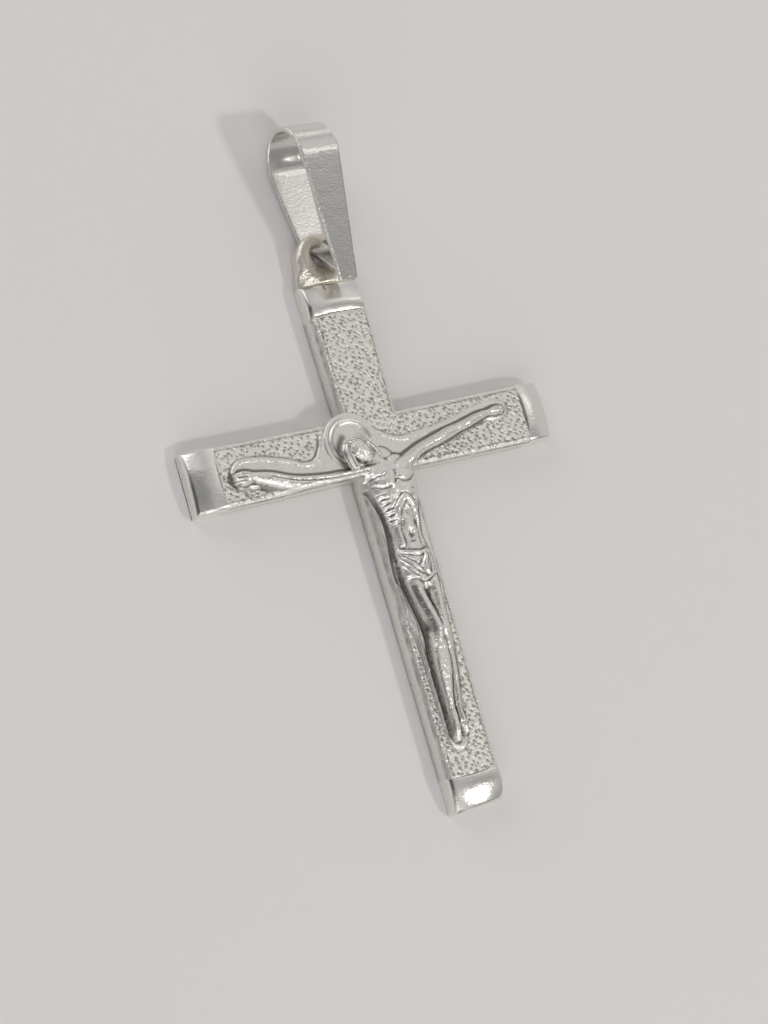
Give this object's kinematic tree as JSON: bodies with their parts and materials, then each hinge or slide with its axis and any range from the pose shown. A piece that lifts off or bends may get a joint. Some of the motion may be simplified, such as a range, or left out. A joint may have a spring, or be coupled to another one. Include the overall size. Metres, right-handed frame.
{
  "type": "crucifix pendant",
  "caption": "Latin-cross pendant with a figure in low relief, smooth end caps, an eye on the top end and a loose tapered strap bail linked through it.",
  "frame": {"origin": "middle of the crossing of shaft and arms, on the flat back", "axes": "+X along the arms to the right of the front view, +Y along the shaft towards the bail, +Z out of the front"},
  "size_m": [0.0298, 0.0518, 0.0057],
  "materials": {
    "cross_silver": "cast silver, polished",
    "bail_silver": "rolled silver strip, polished"
  },
  "bodies": {
    "root": {"cross": "cross_silver", "bail": "bail_silver"}
  },
  "joints": []
}
